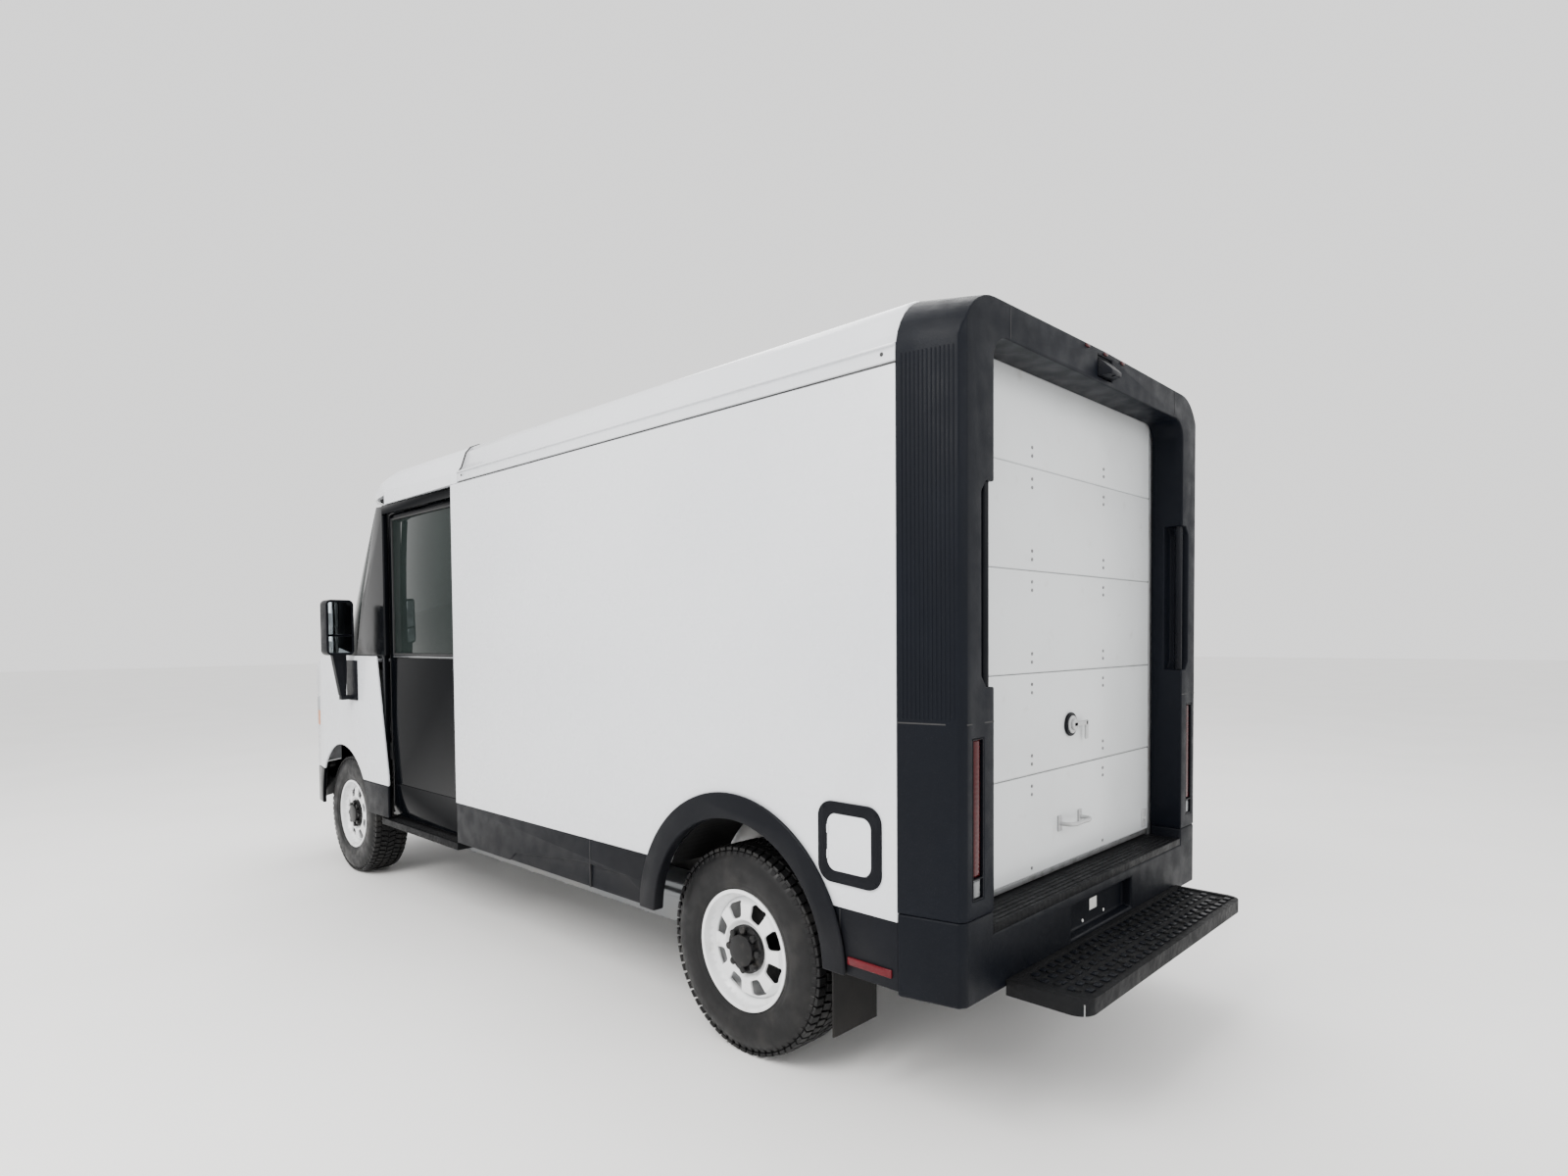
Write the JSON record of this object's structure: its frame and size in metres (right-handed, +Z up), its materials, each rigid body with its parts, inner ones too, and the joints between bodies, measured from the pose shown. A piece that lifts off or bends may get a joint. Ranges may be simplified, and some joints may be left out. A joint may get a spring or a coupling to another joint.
{
  "type": "mail delivery truck",
  "caption": "Walk-in electric mail delivery truck with sliding cab doors, roll-up rear door, rear step and opening charge flap.",
  "frame": {"origin": "on the ground, at the centre of the bounding box", "axes": "+Z up, -Y towards the nose, +Y towards the rear step, +X towards the truck's left side"},
  "size_m": [2.344, 6.054, 2.664],
  "materials": {
    "chassis_black": "satin",
    "pack_grey": "satin",
    "cast_parts": "rough",
    "white_paint": "gloss",
    "door_white": "satin",
    "rim_white": "gloss",
    "floor_metal": "brushed",
    "track_metal": "satin",
    "fitting_metal": "satin",
    "black_gloss": "gloss",
    "black_satin": "satin textured",
    "black_trim": "matte",
    "cab_trim": "matte",
    "tyre": "matte",
    "flap_rubber": "matte",
    "glass": "clear tinted",
    "red_lens": "gloss",
    "lamp_clear": "gloss",
    "seat_fabric": "woven"
  },
  "bodies": {
    "truck": {"frame_rails": "chassis_black", "battery_pack": "pack_grey", "front_axle": "cast_parts", "rear_axle": "chassis_black", "cab_floor": "cab_trim", "cargo_floor": "floor_metal", "side_panel_left": "white_paint", "side_panel_right": "white_paint", "bulkhead": "white_paint", "cargo_roof": "white_paint", "roof_rails": "white_paint", "cab_roof": "white_paint", "cab_frame": "black_gloss", "windscreen": "glass", "front_fenders": "white_paint", "front_fascia": "black_gloss", "front_lamps": "lamp_clear", "side_reflectors": "red_lens", "lower_skirts": "black_satin", "arch_flares": "black_trim", "mud_flaps": "flap_rubber", "tread_plates": "black_trim", "rear_portal": "black_satin", "rear_bumper": "black_satin", "rear_step": "black_trim", "tail_lamps": "red_lens", "header_lamps": "red_lens", "grab_bars": "black_trim", "door_tracks": "track_metal", "charge_frame": "black_trim", "mirror_bases": "black_trim", "dashboard": "cab_trim"},
    "steer_left": {"knuckle_left": "cast_parts"},
    "steer_right": {"knuckle_right": "cast_parts"},
    "wheel_fl": {"wheel_front_left": "rim_white", "tyre_front_left": "tyre", "hub_front_left": "cast_parts"},
    "wheel_fr": {"wheel_front_right": "rim_white", "tyre_front_right": "tyre", "hub_front_right": "cast_parts"},
    "wheel_rl": {"wheel_rear_left": "rim_white", "tyre_rear_left": "tyre", "hub_rear_left": "cast_parts"},
    "wheel_rr": {"wheel_rear_right": "rim_white", "tyre_rear_right": "tyre", "hub_rear_right": "cast_parts"},
    "steering_wheel_body": {"steering_wheel": "cab_trim"},
    "door_left": {"cab_door_left": "black_gloss", "door_glass_left": "glass"},
    "door_right": {"cab_door_right": "black_gloss", "door_glass_right": "glass"},
    "hood_body": {"hood": "white_paint"},
    "mirror_left_body": {"mirror_left": "black_gloss"},
    "mirror_right_body": {"mirror_right": "black_gloss"},
    "charge_door_body": {"charge_door": "white_paint"},
    "rear_door": {"door_panels": "door_white", "door_fittings": "fitting_metal"},
    "rear_door_top": {"door_top_panel": "door_white"},
    "latch": {"latch_handle": "black_trim"},
    "seat_body": {"driver_seat": "seat_fabric"}
  },
  "joints": [
    {"name": "left_steer", "type": "hinge", "parent": "truck", "child": "steer_left", "pos_m": [0.812, -2.137, 0.399], "axis": [0, 0, 1], "range_deg": [-30, 30]},
    {"name": "right_steer", "type": "hinge", "parent": "truck", "child": "steer_right", "pos_m": [-0.812, -2.137, 0.399], "axis": [0, 0, 1], "range_deg": [-30, 30]},
    {"name": "steering_wheel_turn", "type": "hinge", "parent": "truck", "child": "steering_wheel_body", "pos_m": [0.43, -1.517, 1.19], "axis": [0, 0.8829, 0.4695], "range_deg": [-450, 450]},
    {"name": "front_left_spin", "type": "hinge", "parent": "steer_left", "child": "wheel_fl", "pos_m": [0.812, -2.137, 0.399], "axis": [1, 0, 0], "continuous": true},
    {"name": "front_right_spin", "type": "hinge", "parent": "steer_right", "child": "wheel_fr", "pos_m": [-0.812, -2.137, 0.399], "axis": [1, 0, 0], "continuous": true},
    {"name": "rear_left_spin", "type": "hinge", "parent": "truck", "child": "wheel_rl", "pos_m": [0.812, 1.749, 0.399], "axis": [1, 0, 0], "continuous": true},
    {"name": "rear_right_spin", "type": "hinge", "parent": "truck", "child": "wheel_rr", "pos_m": [-0.812, 1.749, 0.399], "axis": [1, 0, 0], "continuous": true},
    {"name": "left_door_slide", "type": "slide", "parent": "truck", "child": "door_left", "axis": [0, 1, 0], "range_m": [0, 0.76]},
    {"name": "right_door_slide", "type": "slide", "parent": "truck", "child": "door_right", "axis": [0, 1, 0], "range_m": [0, 0.76]},
    {"name": "hood_hinge", "type": "hinge", "parent": "truck", "child": "hood_body", "pos_m": [0, -2.465, 1.474], "axis": [-1, 0, 0], "range_deg": [0, 60]},
    {"name": "left_mirror_fold", "type": "hinge", "parent": "truck", "child": "mirror_left_body", "pos_m": [1.062, -1.882, 1.4], "axis": [0, 0, 1], "range_deg": [-20, 55]},
    {"name": "right_mirror_fold", "type": "hinge", "parent": "truck", "child": "mirror_right_body", "pos_m": [-1.062, -1.882, 1.4], "axis": [0, 0, -1], "range_deg": [-20, 55]},
    {"name": "charge_door_hinge", "type": "hinge", "parent": "truck", "child": "charge_door_body", "pos_m": [1.017, 2.254, 0.919], "axis": [0, 0, -1], "range_deg": [0, 110]},
    {"name": "rear_door_lift", "type": "slide", "parent": "truck", "child": "rear_door", "axis": [0, 0, 1], "range_m": [0, 0.327]},
    {"name": "rear_door_top_bend", "type": "hinge", "parent": "rear_door", "child": "rear_door_top", "pos_m": [0, 2.592, 2.192], "axis": [1, 0, 0], "range_deg": [0, 90]},
    {"name": "latch_turn", "type": "hinge", "parent": "rear_door", "child": "latch", "pos_m": [0, 2.62, 1.25], "axis": [0, -1, 0], "range_deg": [0, 90]},
    {"name": "seat_slide", "type": "slide", "parent": "truck", "child": "seat_body", "axis": [0, 1, 0], "range_m": [-0.1, 0.12]}
  ],
  "couplings": [
    {"joint": "right_steer", "follows": "left_steer", "ratio": 1},
    {"joint": "steering_wheel_turn", "follows": "left_steer", "ratio": 15},
    {"joint": "rear_door_top_bend", "follows": "rear_door_lift", "rad_per_m": 4.8}
  ]
}
